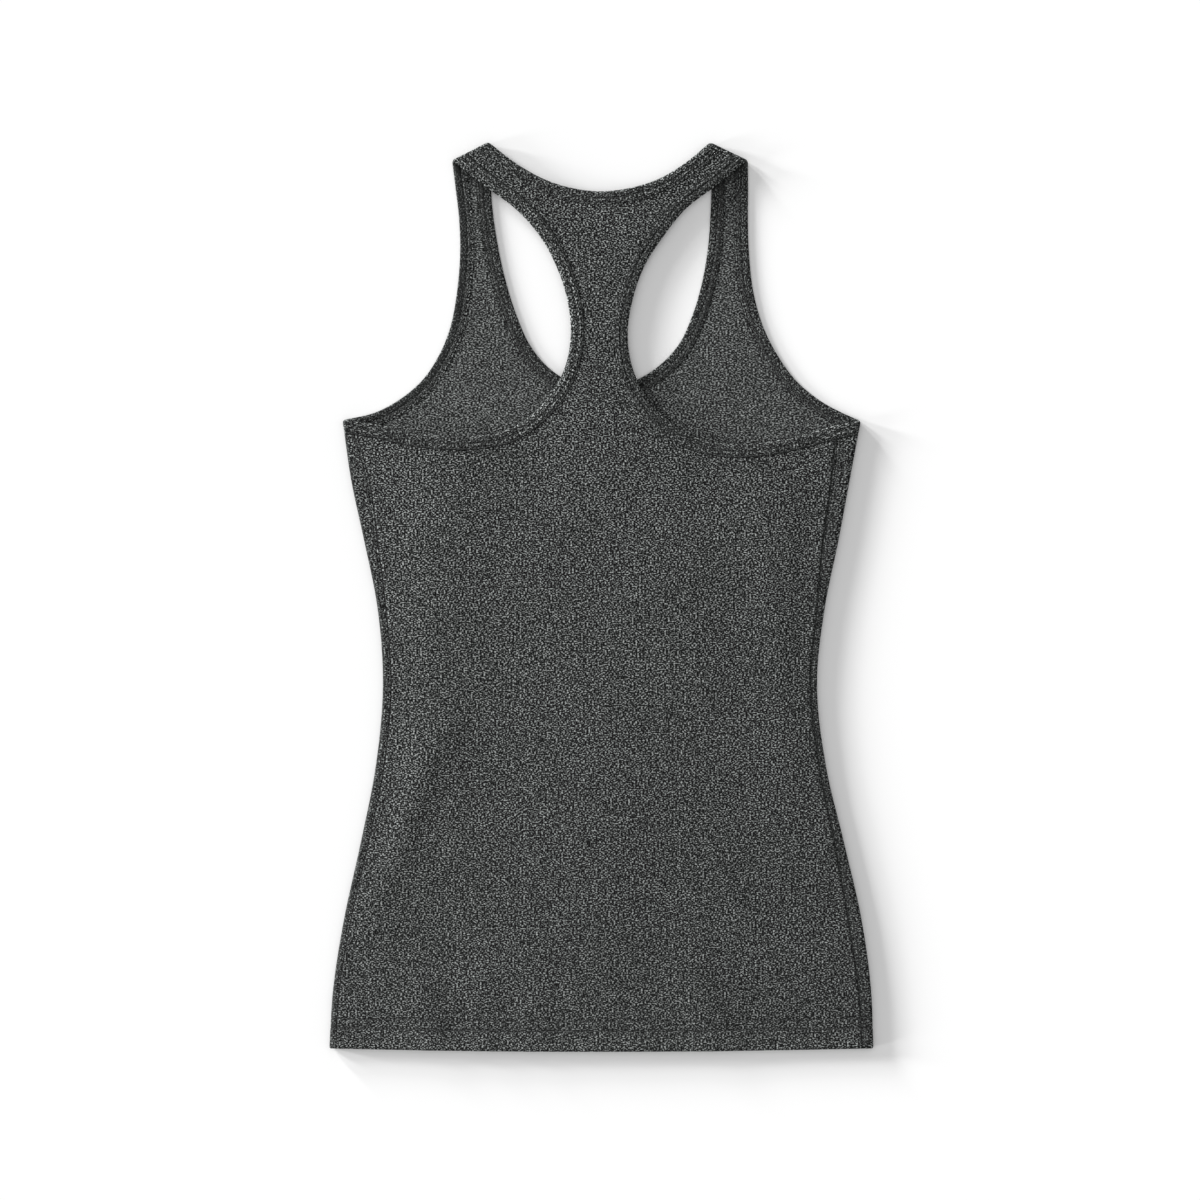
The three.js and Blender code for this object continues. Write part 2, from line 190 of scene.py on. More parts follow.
# The section up the hem: how far each face lies from the middle of the single cloth, and how tightly its
# stitches press it. The stitch rows pull both faces in, and the turned-up edge ends between them. Below
# nought is painted light: the cloth near the hem's edge is painted lighter, as if lit.
HEM = table(
    "height outer inner pressed",
    [0, -0.15, 0.65, -0.8],
    [0.25, 0.26, 1.06, -0.8],
    [1, 0.6, 1.4, -0.9],
    [3, 0.66, 1.4, -0.9],
    [8, 0.7, 1.4, -0.5],
    [12, 0.66, 1.4, -0.2],
    [14.2, 0.58, 1.4, 0.9],
    [14.9, 0.3, 1.2, 1.9],
    [15.6, 0.56, 1.4, 1.1],
    [16.5, 0.55, 1.4, 0.5],
    [17.3, 0.52, 0.6, 0.3],
    [19.5, 0.62, 0.6, 0],
    [21, 0.56, 0.6, 0.3],
    [21.6, 0.36, 0.45, 1.1],
    [22.2, 0.56, 0.6, 0.3],
    [24.5, 0.6, 0.6, 0],
)
HEM_STITCH_ROWS = (14.9, 21.6)

# The section of a binding over its edge: how far in from the edge, half its thickness there, and how
# tightly the stitches press it, with painted light and shade, at the back's armholes, beside the
# racerback on the left and on the right, at the back's neck, and inside the front at the left armhole,
# the right armhole and the neck. Two stitch rows pull it in beside its inner edge. Below nought is
# painted light, as on the lit roll of the fold and beside the inner edge inside the left front; the dark
# line along the inner edge is partly painted shadow of its ditch, and the dark outer edge inside the left
# front is painted shade.
BINDING = table(
    "across half arm racer_left racer_right nape left right neck",
    [9.3, 0.68, 3.4, 3.6, 1, 0.6, -1.6, 1.4, 1.6],
    [9.15, 0.76, 3.4, 3.6, 1, 0.6, -1.6, 1.4, 1.6],
    [8.75, 0.92, 3, 3.6, 0.6, -0.2, -1.8, 1, 1.5],
    [8.45, 0.9, -0.8, -0.6, -1.2, -1.2, -1.8, 0.8, 1.4],
    [8.2, 0.64, 0.6, 0, 0.2, 0.2, -1.4, 1.4, 2.2],
    [7.8, 0.96, -0.5, -1.4, 0.8, -0.6, -1.4, 0.8, 1.4],
    [6.6, 1, 0, -1, 1, -0.2, -0.3, 0.7, 1.3],
    [5.4, 0.96, 0.3, -1.4, 0.7, 0.2, 1.4, 1, 1.4],
    [5, 0.64, 1.2, 0.2, 0.8, 1, 2.6, 2.4, 2.4],
    [4.6, 0.96, 0, -1.6, 1, 0.2, 2.2, 1.4, 1.4],
    [3.4, 1, 0.2, -1.9, 1.8, 0.2, 2.4, 0.8, 1],
    [1.8, 0.99, 0.8, -0.9, 0.6, 0, 2.4, 0.5, 1],
    [0.8, 0.84, 0.4, -0.4, -0.8, -0.6, 2.2, 0.2, 0.8],
    [0.2, 0.45, -1, -1.4, -2.4, -1.8, 1.2, -0.4, 0.2],
)
BINDING_STITCH_ROWS = (8.2, 5)
# How much flatter a binding lies inside the front, and over how many rings it gets flatter
INNER_FLATTENING = 0.6
FLATTENING_RINGS = 24
# Over how many rings an armhole binding's press and painted light change from the back's to the front's,
# from its side fold to the front's inside
FADING_RINGS = 30
# Where the back's edge lies over a front strap: how dark the painted shadow on the strap beside it is,
# how far the shadow reaches, and from how deep inside the shoulder fold it fades and over what length
CROSSING_PAINTED_SHADOW = 2.3
CROSSING_REACH = 4.6
CROSSING_DEPTH = 22
CROSSING_FADE = 16

# Seams at the sides: where the back's columns lie past each one, and how many its relief reaches
SEAM_ROW = 1.4
SEAM_COLUMNS = (0, 0.5, 0.95, 1.4, 1.85, 2.6, 3.6)
SEAM_REACH_COLUMNS = 12
# The outer face across a seam: two ridges, a ditch where the panels meet, and a row of stitches on
# each side, the one on the back pulled in more
SEAM_SECTION = table(
    "middle width rise",
    [2.9, 1, 0.2],
    [0, 2.5, 0.12],
    [0, 0.4, -0.2],
    [SEAM_ROW, 0.42, -0.4],
    [-SEAM_ROW, 0.4, -0.22],
)
# How tightly each row of stitches presses the cloth; how far and how tightly both press the cloth round a
# seam, with painted shade over the broad band on the right; and where and how wide a painted highlight
# lies a little past the seam on the left
SEAM_ROW_PRESS = table("middle width rise", [SEAM_ROW, 0.6, 2.3], [-SEAM_ROW, 0.6, 0.9])
SEAM_PRESS_AND_PAINTED_LIGHT = {"left": (2.4, 0.35, 0.7), "right": (5.8, 1.1, 0)}
HIGHLIGHT_MIDDLE = 3.6
HIGHLIGHT_WIDTH = 0.9
# Painted shade round the left side fold, darkening its lit bend, and a little painted light round the
# right one
BEND_PAINTED_LIGHT = {"left": 2.8, "right": -0.3}

# Stitches, and how finely the lines they follow are drawn
STITCH_PITCH = 2.8
STITCH_LENGTH = 2.3
THREAD = 0.24
SEAM_LINE_POINTS = 200
HEM_LINE_POINTS = 240

# The numbers that each place on a sheet holds
MID, OUT, OUTER, INNER, FLAT, PRESS_AND_PAINTED_LIGHT = slice(0, 3), slice(3, 6), 6, 7, slice(8, 10), 10
FACTS = 11


def lerp(a, b, share):
    return a + (b - a) * share


def smoothstep(value):
    share = np.clip(value, 0, 1)
    return share * share * (3 - 2 * share)


def unit(vectors):
    return vectors / np.linalg.norm(vectors, axis=-1, keepdims=True)


def hermite(start, end, leaving, arriving, t):
    """A cubic from start to end, with its slopes at both."""
    return (
        (2 * t**3 - 3 * t**2 + 1) * start
        + (t**3 - 2 * t**2 + t) * leaving
        + (3 * t**2 - 2 * t**3) * end
        + (t**3 - t**2) * arriving
    )


def sides_at(height, column):
    """A side fold or seam at any height, on a smooth curve through the table."""
    known, values = SIDES["height"], SIDES[column]
    slopes = np.gradient(values, known)
    height = np.clip(height, known[0], known[-1])
    i = np.clip(np.searchsorted(known, height) - 1, 0, len(known) - 2)
    span = known[i + 1] - known[i]
    t = (height - known[i]) / span
    return hermite(values[i], values[i + 1], slopes[i] * span, slopes[i + 1] * span, t)


def distances_along(points):
    """How far along a line of points each one lies."""
    return np.concatenate([[0], np.cumsum(np.linalg.norm(np.diff(points, axis=0), axis=1))])


def values_at(marks, lengths, values):
    """The values of a line of points at marks along it."""
    return np.stack([np.interp(marks, lengths, column) for column in values.T], axis=1)


def at_height(points, height):
    """Flat points, lifted to a height."""
    return np.concatenate([points, np.broadcast_to(height, points.shape[:-1])[..., None]], axis=-1)


def bumps(past, section):
    """The sum of a section's soft bumps, at these places across it."""
    return sum(
        rise * np.exp(-(((past - middle) / width) ** 2)) for middle, width, rise in zip(*section.values())
    )


def hem_rise(width):
    """How far the hem's edge curves up, from its middle to its corners."""
    return HEM_RISE * (2 * width - 1) ** 2


def stations_of(edge, side):
    return np.stack([edge[f"{side}_x"], edge[f"{side}_height"]], axis=1)


class Fold:
    """A straight fold through two places, with the way along it and the way into the garment."""

    def __init__(self, start, end):
        self.start = start
        self.along = unit(end - start)
        self.into = np.array([self.along[1], -self.along[0]])
        if self.into @ (np.array([0, BODY_LENGTH / 2]) - start) < 0:
            self.into = -self.into

    def inside(self, points):
        return (points - self.start) @ self.into

    def edge(self, points):
        """The nearest places on the fold."""
        return self.start + ((points - self.start) @ self.along)[..., None] * self.along


class Side:
    """One side of the garment, with the way to the middle and the folds that its bindings cross."""

    TANGENT_SPAN = 20

    def __init__(self, name, inward):
        self.name, self.inward = name, inward
        arm = stations_of(BACK_ARMHOLE, name)
        neck = stations_of(BACK_NECK, name)
        below = SIDES["height"][-1] - self.TANGENT_SPAN
        self.arm_fold = Fold(arm[0], np.array([self.fold(below), below]))
        self.shoulder_fold = Fold(arm[-1], neck[-1])

    def fold(self, height):
        return sides_at(height, f"{self.name}_fold")

    def seam(self, height):
        """The side seam, which meets the armhole binding at its seam station."""
        top = panel_edge(back_armhole(self))[SEAM_STATION * STATION_STEPS]
        plain = self.fold(height) + self.inward * sides_at(height, f"{self.name}_seam")
        plain_top = self.fold(top[1]) + self.inward * sides_at(top[1], f"{self.name}_seam")
        return plain + (top[0] - plain_top) * (height / top[1]) ** 4


def relief(points):
    """How far the creases raise each place."""
    total = np.zeros(points.shape[:-1])
    for fx, fy, tx, ty, width, rise in zip(*CREASES.values()):
        start, run = np.array([fx, fy]), np.array([tx - fx, ty - fy])
        share = np.clip((points - start) @ run / (run @ run), 0, 1)
        away = np.linalg.norm(points - start - share[..., None] * run, axis=-1)
        total += rise * np.exp(-((away / width) ** 2))
    return total


def upper_height(points):
    """How high the middle of the upper layer lies: level beside the folds, creased inside them."""
    x, height = points[..., 0], points[..., 1]
    inside = np.minimum.reduce(
        [
            x - LEFT.fold(height),
            RIGHT.fold(height) - x,
            LEFT.shoulder_fold.inside(points),
            RIGHT.shoulder_fold.inside(points),
        ]
    )
    return UPPER + smoothstep((inside - CREASE_START) / (CREASE_FULL - CREASE_START)) * relief(points)


def places(mid, out, outer, inner, flat):
    """Places on a sheet: its middle, the way out, its reach to both faces, and its flat cut."""
    shape = mid.shape[:-1]
    return np.concatenate(
        [
            mid,
            np.broadcast_to(out, mid.shape),
            np.broadcast_to(outer, shape)[..., None],
            np.broadcast_to(inner, shape)[..., None],
            np.broadcast_to(flat, shape + (2,)),
            np.zeros(shape + (1,)),
        ],
        axis=-1,
    )


def pressed(grid, share):
    """The same places, with how tightly stitches press the cloth there, and the light and shade painted
    on it.
    """
    grid = np.array(grid)
    grid[..., PRESS_AND_PAINTED_LIGHT] = share
    return grid


def on_upper(points, outer, inner, flat=None):
    mid = at_height(points, upper_height(points))
    return places(mid, (0, 0, 1), outer, inner, points if flat is None else flat)


def on_lower(points, rest, outer, inner, flat=None):
    mid = at_height(points, rest)
    return places(mid, (0, 0, -1), outer, inner, points if flat is None else flat)


# The steps round a fold, from the upper layer to the lower one
BEND_SHARES = np.arange(1, BEND_STEPS) / BEND_STEPS


def bend_radius(rest):
    return (UPPER - rest) / 2


def bend_depth(rest):
    return bend_radius(rest) + rest


def on_bend(edge, into, rest, share, outer, inner, flat):
    """Places on the bend at a fold, for a sheet whose middle rests this high on the lower layer."""
    angle = math.pi * (0.5 - share)
    radius = bend_radius(rest)
    out = np.array([*(-math.cos(angle) * into), math.sin(angle)])
    mid = at_height(edge + bend_depth(rest) * into, 0.0)
    mid = mid + radius * out + np.array([0, 0, (UPPER + rest) / 2])
    return places(mid, out, outer, inner, flat)


def past_fold(edge, into, rest, arc):
    """The flat place of what lies an arc past the start of a bend, on the cloth's own layer."""
    return edge + (bend_depth(rest) - arc) * into


def fold_rows(fold, upper, lower, rest, reach):
    """Rows round a straight fold, from a row of the upper layer to one of the lower."""
    rows = []
    for share in BEND_SHARES:
        edge = lerp(fold.edge(upper), fold.edge(lower), share)
        arc = math.pi * share * bend_radius(rest)
        flat = past_fold(edge, fold.into, rest, arc)
        rows.append(on_bend(edge, fold.into, rest, share, reach, reach, flat))
    return rows


def on_curve(stations, t):
    """Places on a centripetal Catmull-Rom curve, t stations from its start."""
    before_first = 2 * stations[0] - stations[1]
    after_last = 2 * stations[-1] - stations[-2]
    known = np.vstack([before_first, stations, after_last])
    spans = np.sqrt(np.linalg.norm(np.diff(known, axis=0), axis=1))
    i = np.clip(t.astype(int), 0, len(stations) - 2)
    before, start, end, after = (known[i + k] for k in range(4))
    s0, s1, s2 = (spans[i + k][:, None] for k in range(3))
    slope = (end - start) / s1
    leaving = ((start - before) / s0 - (end - before) / (s0 + s1) + slope) * s1
    arriving = (slope - (after - start) / (s1 + s2) + (after - end) / s2) * s1
    return hermite(start, end, leaving, arriving, (t - i)[:, None])


class Edge:
    """One edge of the garment on one layer, and the way across the cloth at each of its points.
    It runs from one depth inside its first fold to another inside its last, and the way across
    leans over to run along the fold there."""

    SEARCH_STEPS = 200

    def __init__(self, stations, turn, folds, depths, steps):
        last = len(stations) - 1
        fine = np.linspace(0, 1, self.SEARCH_STEPS + 1)
        opening = folds[0].inside(on_curve(stations, fine))
        closing = folds[1].inside(on_curve(stations, last - fine))
        start = np.interp(depths[0], opening, fine)
        stop = last - np.interp(depths[1], closing, fine)
        t = np.concatenate(
            [
                np.linspace(start, 1, steps, endpoint=False),
                np.linspace(1, last - 1, (last - 2) * steps, endpoint=False),
                np.linspace(last - 1, stop, steps + 1),
            ]
        )
        self.points = on_curve(stations, t)
        run = unit(np.gradient(self.points, axis=0))
        self.across = turn * np.stack([-run[:, 1], run[:, 0]], axis=1)
        for fold, depth in zip(folds, depths):
            share = np.clip(1 - (fold.inside(self.points) - depth) / LEAN_REACH, 0, 1)[:, None]
            leaning = fold.along / (self.across @ fold.along)[:, None]
            self.across = lerp(self.across, leaning, share)

    def inset(self, width):
        return self.points + width * self.across


def panel_edge(edge):
    """A panel's edge, tucked into its binding."""
    return edge.inset(BINDING_WIDTH - TUCK)


PANEL_DEPTH = bend_depth(CLOTH / 2)
BAND_DEPTH = bend_depth(BINDING_HALF)


def back_armhole(side, depth=PANEL_DEPTH, steps=STATION_STEPS):
    stations = stations_of(BACK_ARMHOLE, side.name)
    return Edge(stations, -side.inward, (side.arm_fold, side.shoulder_fold), (depth, depth), steps)


def front_armhole(side, depth=PANEL_DEPTH, top=PANEL_DEPTH, steps=STATION_STEPS):
    stations = stations_of(FRONT_ARMHOLE, side.name)
    return Edge(stations, -side.inward, (side.arm_fold, side.shoulder_fold), (depth, top), steps)


def neckline(edge, depth=PANEL_DEPTH, steps=STATION_STEPS):
    left, right = (stations_of(edge, name) for name in ("left", "right"))
    folds = (LEFT.shoulder_fold, RIGHT.shoulder_fold)
    return Edge(np.vstack([left[::-1], right[1:]]), -1, folds, (depth, depth), steps)


def half_neck(edge, side):
    """The part of a neckline on one side, from the middle to the shoulder."""
    points = panel_edge(edge)
    middle = len(points) // 2
    return points[middle::-1] if side is LEFT else points[middle:]


LEFT = Side("left", 1)
RIGHT = Side("right", -1)
GARMENT_SIDES = (LEFT, RIGHT)


def across_rows(start, end):
    """Rows from one edge to another, with a short step beside each edge."""
    step = EDGE_STEP / np.linalg.norm(end - start, axis=1)[:, None]
    even = step + (1 - 2 * step) * np.linspace(0, 1, STRAP_COLUMNS - 1)
    shares = np.hstack([np.zeros_like(step), even, np.ones_like(step)])
    return start[:, None] + shares[..., None] * (end - start)[:, None]


def strap_rows(arm, neck, body_top):
    """Rows from an armhole edge to the middle line, and past its end to the neck."""
    middle_rows = len(arm) - len(neck)
    share = np.arange(middle_rows) / middle_rows
    rise = share * (1 - ROW_CROWDING + ROW_CROWDING * share)
    heights = lerp(body_top, neck[0, 1], rise)
    middle = np.stack([np.full(middle_rows, neck[0, 0]), heights], axis=1)
    return across_rows(arm, np.vstack([middle, neck]))


def strap_reach(rows, neck_rows):
    """Half the cloth's thickness over a strap, thinner where it is tucked into a binding."""
    reach = np.full(rows.shape[:-1], CLOTH / 2)
    reach[:, 0] = TUCKED_HALF
    reach[-neck_rows:, -1] = TUCKED_HALF
    return reach


def front_strap_row(side, depth):
    """The front strap's row at a depth inside the shoulder fold."""
    arm = panel_edge(front_armhole(side, top=depth))[-1:]
    neck = half_neck(neckline(FRONT_NECK, depth), side)[-1:]
    return across_rows(arm, neck)[0]


def resampled(points, distances):
    """Places at distances along a line of points, and its length."""
    lengths = distances_along(points)
    return values_at(distances, lengths, points), lengths[-1]


def column_heights(width, top):
    """Heights up each column: the hem's section, even steps, and a short step at the top."""
    hem = hem_rise(width) + HEM["height"][:, None]
    shares = (np.arange(1, BODY_STEPS) / (BODY_STEPS - 1))[:, None]
    body = lerp(hem[-1], top - EDGE_STEP, shares)
    return np.vstack([hem, body, np.broadcast_to(top, body[:1].shape)])


def column_reach(rows, columns):
    """The reach to both faces up each column."""
    outer, inner = np.full((rows, columns), CLOTH / 2), np.full((rows, columns), CLOTH / 2)
    hem_rows = len(HEM["height"])
    outer[:hem_rows] = HEM["outer"][:, None]
    inner[:hem_rows] = HEM["inner"][:, None]
    return outer, inner


def body_rows(tops, left_end, right_end):
    """A body's rows, from its columns' tops and the ends of its rows at each height."""
    width = (tops[:, 0] - left_end(tops[:, 1])) / (right_end(tops[:, 1]) - left_end(tops[:, 1]))
    heights = column_heights(width, tops[:, 1])
    x = lerp(left_end(heights), right_end(heights), width)
    return np.stack([x, heights], axis=-1)


def past_seam(side, points):
    """How far places lie past a side seam, towards the middle of the body."""
    return side.inward * (points[..., 0] - side.seam(points[..., 1]))


def seam_press_and_painted_light(side, points):
    """How tightly the stitches press the cloth beside a side seam, with painted shade beside the right
    one and a painted highlight past the left one.
    """
    past = past_seam(side, points)
    reach, tightness_and_painted_light, painted_highlight = SEAM_PRESS_AND_PAINTED_LIGHT[side.name]
    band = tightness_and_painted_light * np.exp(-((past / reach) ** 4))
    # a painted highlight a little past the seam
    painted_highlight_strip = painted_highlight * np.exp(-(((past - HIGHLIGHT_MIDDLE) / HIGHLIGHT_WIDTH) ** 2))
    return band + bumps(past, SEAM_ROW_PRESS) - painted_highlight_strip


def crossing_painted_shadow(side, points):
    """The painted shadow on a front strap beside the back's armhole edge that lies over it at the
    shoulder.
    """
    edge = back_armhole(side).points[RACERBACK_STATION * STATION_STEPS :]
    apart = np.linalg.norm(points[..., None, :] - edge, axis=-1).min(axis=-1)
    deep = smoothstep((side.shoulder_fold.inside(points) - CROSSING_DEPTH) / CROSSING_FADE)
    return CROSSING_PAINTED_SHADOW * (1 - deep) * np.exp(-((apart / CROSSING_REACH) ** 2))


def hem_press_and_painted_light(rows):
    """How tightly the hem's stitches press the cloth up each column, and the painted light near its edge.
    """
    tight_and_painted_light = np.zeros(rows.shape[:2])
    tight_and_painted_light[: len(HEM["height"])] = HEM["pressed"][:, None]
    return tight_and_painted_light


class Cloth:
    """Grids of places that share their edges, made into one closed shell."""

    def __init__(self):
        self.grids = []

    def add(self, grid):
        self.grids.append(np.asarray(grid))

    def corners(self):
        """The corners of every quad, turned to run anticlockwise as seen from outside."""
        found, start = [], 0
        for grid in self.grids:
            ids = start + np.arange(grid.shape[0] * grid.shape[1]).reshape(grid.shape[:2])
            quads = np.stack([ids[:-1, :-1], ids[:-1, 1:], ids[1:, 1:], ids[1:, :-1]], axis=-1)
            found.append(quads.reshape(-1, 4))
            start += ids.size
        return np.concatenate(found)

    def build(self, name, material):
        spots = np.concatenate([grid.reshape(-1, FACTS) for grid in self.grids])
        quads = self.corners()
        a, b, c, d = (spots[quads[:, k], MID] for k in range(4))
        facing = np.einsum("ij,ij->i", np.cross(c - a, d - b), spots[quads[:, 0], OUT])
        quads[facing < 0] = quads[facing < 0, ::-1]

        _, first, ids = np.unique(
            np.round(spots[:, MID], 3), axis=0, return_index=True, return_inverse=True
        )
        ids = ids.reshape(-1)
        shared = spots[first]
        count = len(shared)
        outer = shared[:, MID] + shared[:, OUTER, None] * shared[:, OUT]
        inner = shared[:, MID] - shared[:, INNER, None] * shared[:, OUT]

        edges = np.stack([quads, np.roll(quads, -1, axis=1)], axis=-1).reshape(-1, 2)
        ends = ids[edges]
        forward, backward = ends[:, 0] * count + ends[:, 1], ends[:, 1] * count + ends[:, 0]
        rim = edges[~np.isin(forward, backward)]
        start, end = ids[rim[:, 0]], ids[rim[:, 1]]
        walls = np.stack([end, start, start + count, end + count], axis=1)

        faces = np.concatenate([ids[quads], ids[quads[:, ::-1]] + count, walls])
        flats = np.concatenate(
            [spots[quads, FLAT], spots[quads[:, ::-1], FLAT], spots[rim[:, [1, 0, 0, 1]], FLAT]]
        )
        piece = make_mesh(name, np.concatenate([outer, inner]), faces.tolist(), material)
        uv = piece.data.uv_layers.new(name="flat")
        uv.data.foreach_set("uv", (flats * MM).ravel())
        within = piece.data.attributes.new("inner", "FLOAT", "FACE")
        sides = np.repeat([0.0, 1.0, 0.0], [len(quads), len(quads), len(walls)])
        within.data.foreach_set("value", sides)
        # how pressed each place is, with the light and shade painted on it
        tight_and_painted_light = piece.data.attributes.new("pressed", "FLOAT", "POINT")
        tight_and_painted_light.data.foreach_set("value", np.tile(shared[:, PRESS_AND_PAINTED_LIGHT], 2))

        corners = spots[quads, FLAT]
        diagonals = corners[:, 2] - corners[:, 0], corners[:, 3] - corners[:, 1]
        area = np.abs(np.cross(*diagonals)).sum() / 2
        extent = corners.reshape(-1, 2).max(axis=0) - corners.reshape(-1, 2).min(axis=0)
        return piece, tuple(extent * MM), area * MM * MM


def make_mesh(name, points, faces, material):
    """A smooth-shaded piece in the frame's metres."""
    shift = np.array([-OUTLINE_MIDDLE, cad_low.y / MM, 0])
    mesh = bpy.data.meshes.new(name)
    mesh.from_pydata(((points + shift) * MM).tolist(), [], faces)
    mesh.shade_smooth()
    mesh.materials.append(material)
    piece = bpy.data.objects.new(name, mesh)
    bpy.context.scene.collection.objects.link(piece)
    return piece


def back_cloth():
    """The back: its body between the side seams, and both straps over the shoulder folds."""
    cloth = Cloth()
    first, racerback = SEAM_STATION * STATION_STEPS, RACERBACK_STATION * STATION_STEPS
    neck = neckline(BACK_NECK)
    tops = []
    for side in GARMENT_SIDES:
        arm = panel_edge(back_armhole(side))
        half = half_neck(neck, side)
        strap = strap_rows(arm[racerback:], half, BACK_BODY_TOP)
        reach = strap_reach(strap, len(half))
        upper_end, rest = strap[-1], CLOTH / 2
        lower_end, seam = (front_strap_row(side, depth) for depth in (PANEL_DEPTH, SHOULDER_SEAM))
        fold = side.shoulder_fold
        lower = []
        for row in (lower_end, seam):
            arc = math.pi * bend_radius(rest) + (fold.inside(row) - PANEL_DEPTH)[:, None]
            flat = past_fold(fold.edge(row), fold.into, rest, arc)
            lower.append(on_lower(row, rest, reach[-1], reach[-1], flat))
        bend = fold_rows(fold, upper_end, lower_end, rest, reach[-1])
        cloth.add([*on_upper(strap, reach, reach), *bend, *lower])

        _, length = resampled(arm[first : racerback + 1], [0])
        even = np.arange(SEAM_COLUMNS[-1] + COLUMN_STEP, length - COLUMN_STEP / 2, COLUMN_STEP)
        lower_arm, _ = resampled(arm[first : racerback + 1], [*SEAM_COLUMNS, *even])
        tops.append((lower_arm, strap[0]))
    (left_arm, left_row), (right_arm, right_row) = tops
    all_tops = np.vstack([left_arm, left_row, right_row[-2::-1], right_arm[::-1]])
    body = body_rows(all_tops, LEFT.seam, RIGHT.seam)
    outer, inner = column_reach(*body.shape[:2])
    ends = slice(0, SEAM_REACH_COLUMNS), slice(-SEAM_REACH_COLUMNS, None)
    for side, columns in zip(GARMENT_SIDES, ends):
        outer[:, columns] += bumps(past_seam(side, body[:, columns]), SEAM_SECTION)
    bound = np.r_[0 : len(left_arm) + 1, -len(right_arm) - 1 : 0]
    outer[-1, bound] = inner[-1, bound] = TUCKED_HALF
    # the seams' and the hem's press, with painted shade by the right seam, a painted highlight past the
    # left one and painted light near the hem's edge
    tight_and_painted_light = seam_press_and_painted_light(LEFT, body) + seam_press_and_painted_light(RIGHT, body) + hem_press_and_painted_light(body)
    cloth.add(pressed(on_upper(body, outer, inner), tight_and_painted_light))
    return cloth


def front_cloth():
    """The front: its body and straps on the lower layer, turned up round both side folds."""
    cloth = Cloth()
    rest, radius = CLOTH / 2, bend_radius(CLOTH / 2)
    straps = []
    for side in GARMENT_SIDES:
        arm = panel_edge(front_armhole(side, top=SHOULDER_SEAM))
        neck = half_neck(neckline(FRONT_NECK, SHOULDER_SEAM), side)
        strap = strap_rows(arm, neck, FRONT_BODY_TOP)
        reach = strap_reach(strap, len(neck))
        # the front strap, with a painted shadow beside the back's edge that lies over it
        cloth.add(pressed(on_lower(strap, rest, reach, reach), crossing_painted_shadow(side, strap)))
        straps.append(strap[0])
    left_row, right_row = straps
    body = body_rows(
        np.vstack([left_row, right_row[-2::-1]]),
        lambda height: LEFT.fold(height) + PANEL_DEPTH,
        lambda height: RIGHT.fold(height) - PANEL_DEPTH,
    )
    outer, inner = column_reach(*body.shape[:2])
    outer = np.minimum(outer, CLOTH / 2)
    outer[-1, [0, -1]] = inner[-1, [0, -1]] = TUCKED_HALF
    lower = on_lower(body, rest, outer, inner)
    cloth.add(lower)

    for side, column, width in ((LEFT, 0, 0.0), (RIGHT, -1, 1.0)):
        into = np.array([side.inward, 0.0])
        arm = panel_edge(back_armhole(side))[: SEAM_STATION * STATION_STEPS + 1]
        _, length = resampled(arm, [0])
        flap_tops, _ = resampled(arm, np.linspace(0, length, FLAP_COLUMNS + 1))
        start = side.fold(flap_tops[:, 1]) + side.inward * PANEL_DEPTH
        shares = (flap_tops[:, 0] - start) / (side.seam(flap_tops[:, 1]) - start)
        heights = column_heights(np.full(len(flap_tops), width), flap_tops[:, 1])
        x = lerp(side.fold(heights) + side.inward * PANEL_DEPTH, side.seam(heights), shares)
        flap = np.stack([x, heights], axis=-1)
        edge = np.stack([side.fold(heights), heights], axis=-1)
        arc = math.pi * radius + np.abs(x - edge[..., 0]) - PANEL_DEPTH
        outer, inner = column_reach(*flap.shape[:2])
        outer += bumps(past_seam(side, flap), SEAM_SECTION)
        outer[-1] = inner[-1] = TUCKED_HALF
        rows = on_upper(flap, outer, inner, past_fold(edge, into, rest, arc[..., None]))
        # the flap's seam and hem press, with their painted light and shade
        rows = pressed(rows, seam_press_and_painted_light(side, flap) + hem_press_and_painted_light(flap))

        bend = []
        outer, inner = column_reach(len(heights), 1)
        outer[-1] = inner[-1] = TUCKED_HALF
        for share in BEND_SHARES:
            top = lerp(flap_tops[0, 1], body[-1, column, 1], share)
            up = column_heights(np.array([width]), np.array([top]))
            edge = np.stack([side.fold(up), up], axis=-1)
            flat = past_fold(edge, into, rest, math.pi * (1 - share) * radius)
            rows_round = on_bend(edge, into, rest, share, outer, inner, flat)
            # painted shade round the left fold and a little painted light round the right one
            bend.append(pressed(rows_round, BEND_PAINTED_LIGHT[side.name] + hem_press_and_painted_light(rows_round)))
        lower_column = lower[:, column : column + 1 or None]
        cloth.add(np.concatenate([rows[:, ::-1], *bend, lower_column], axis=1))
    return cloth


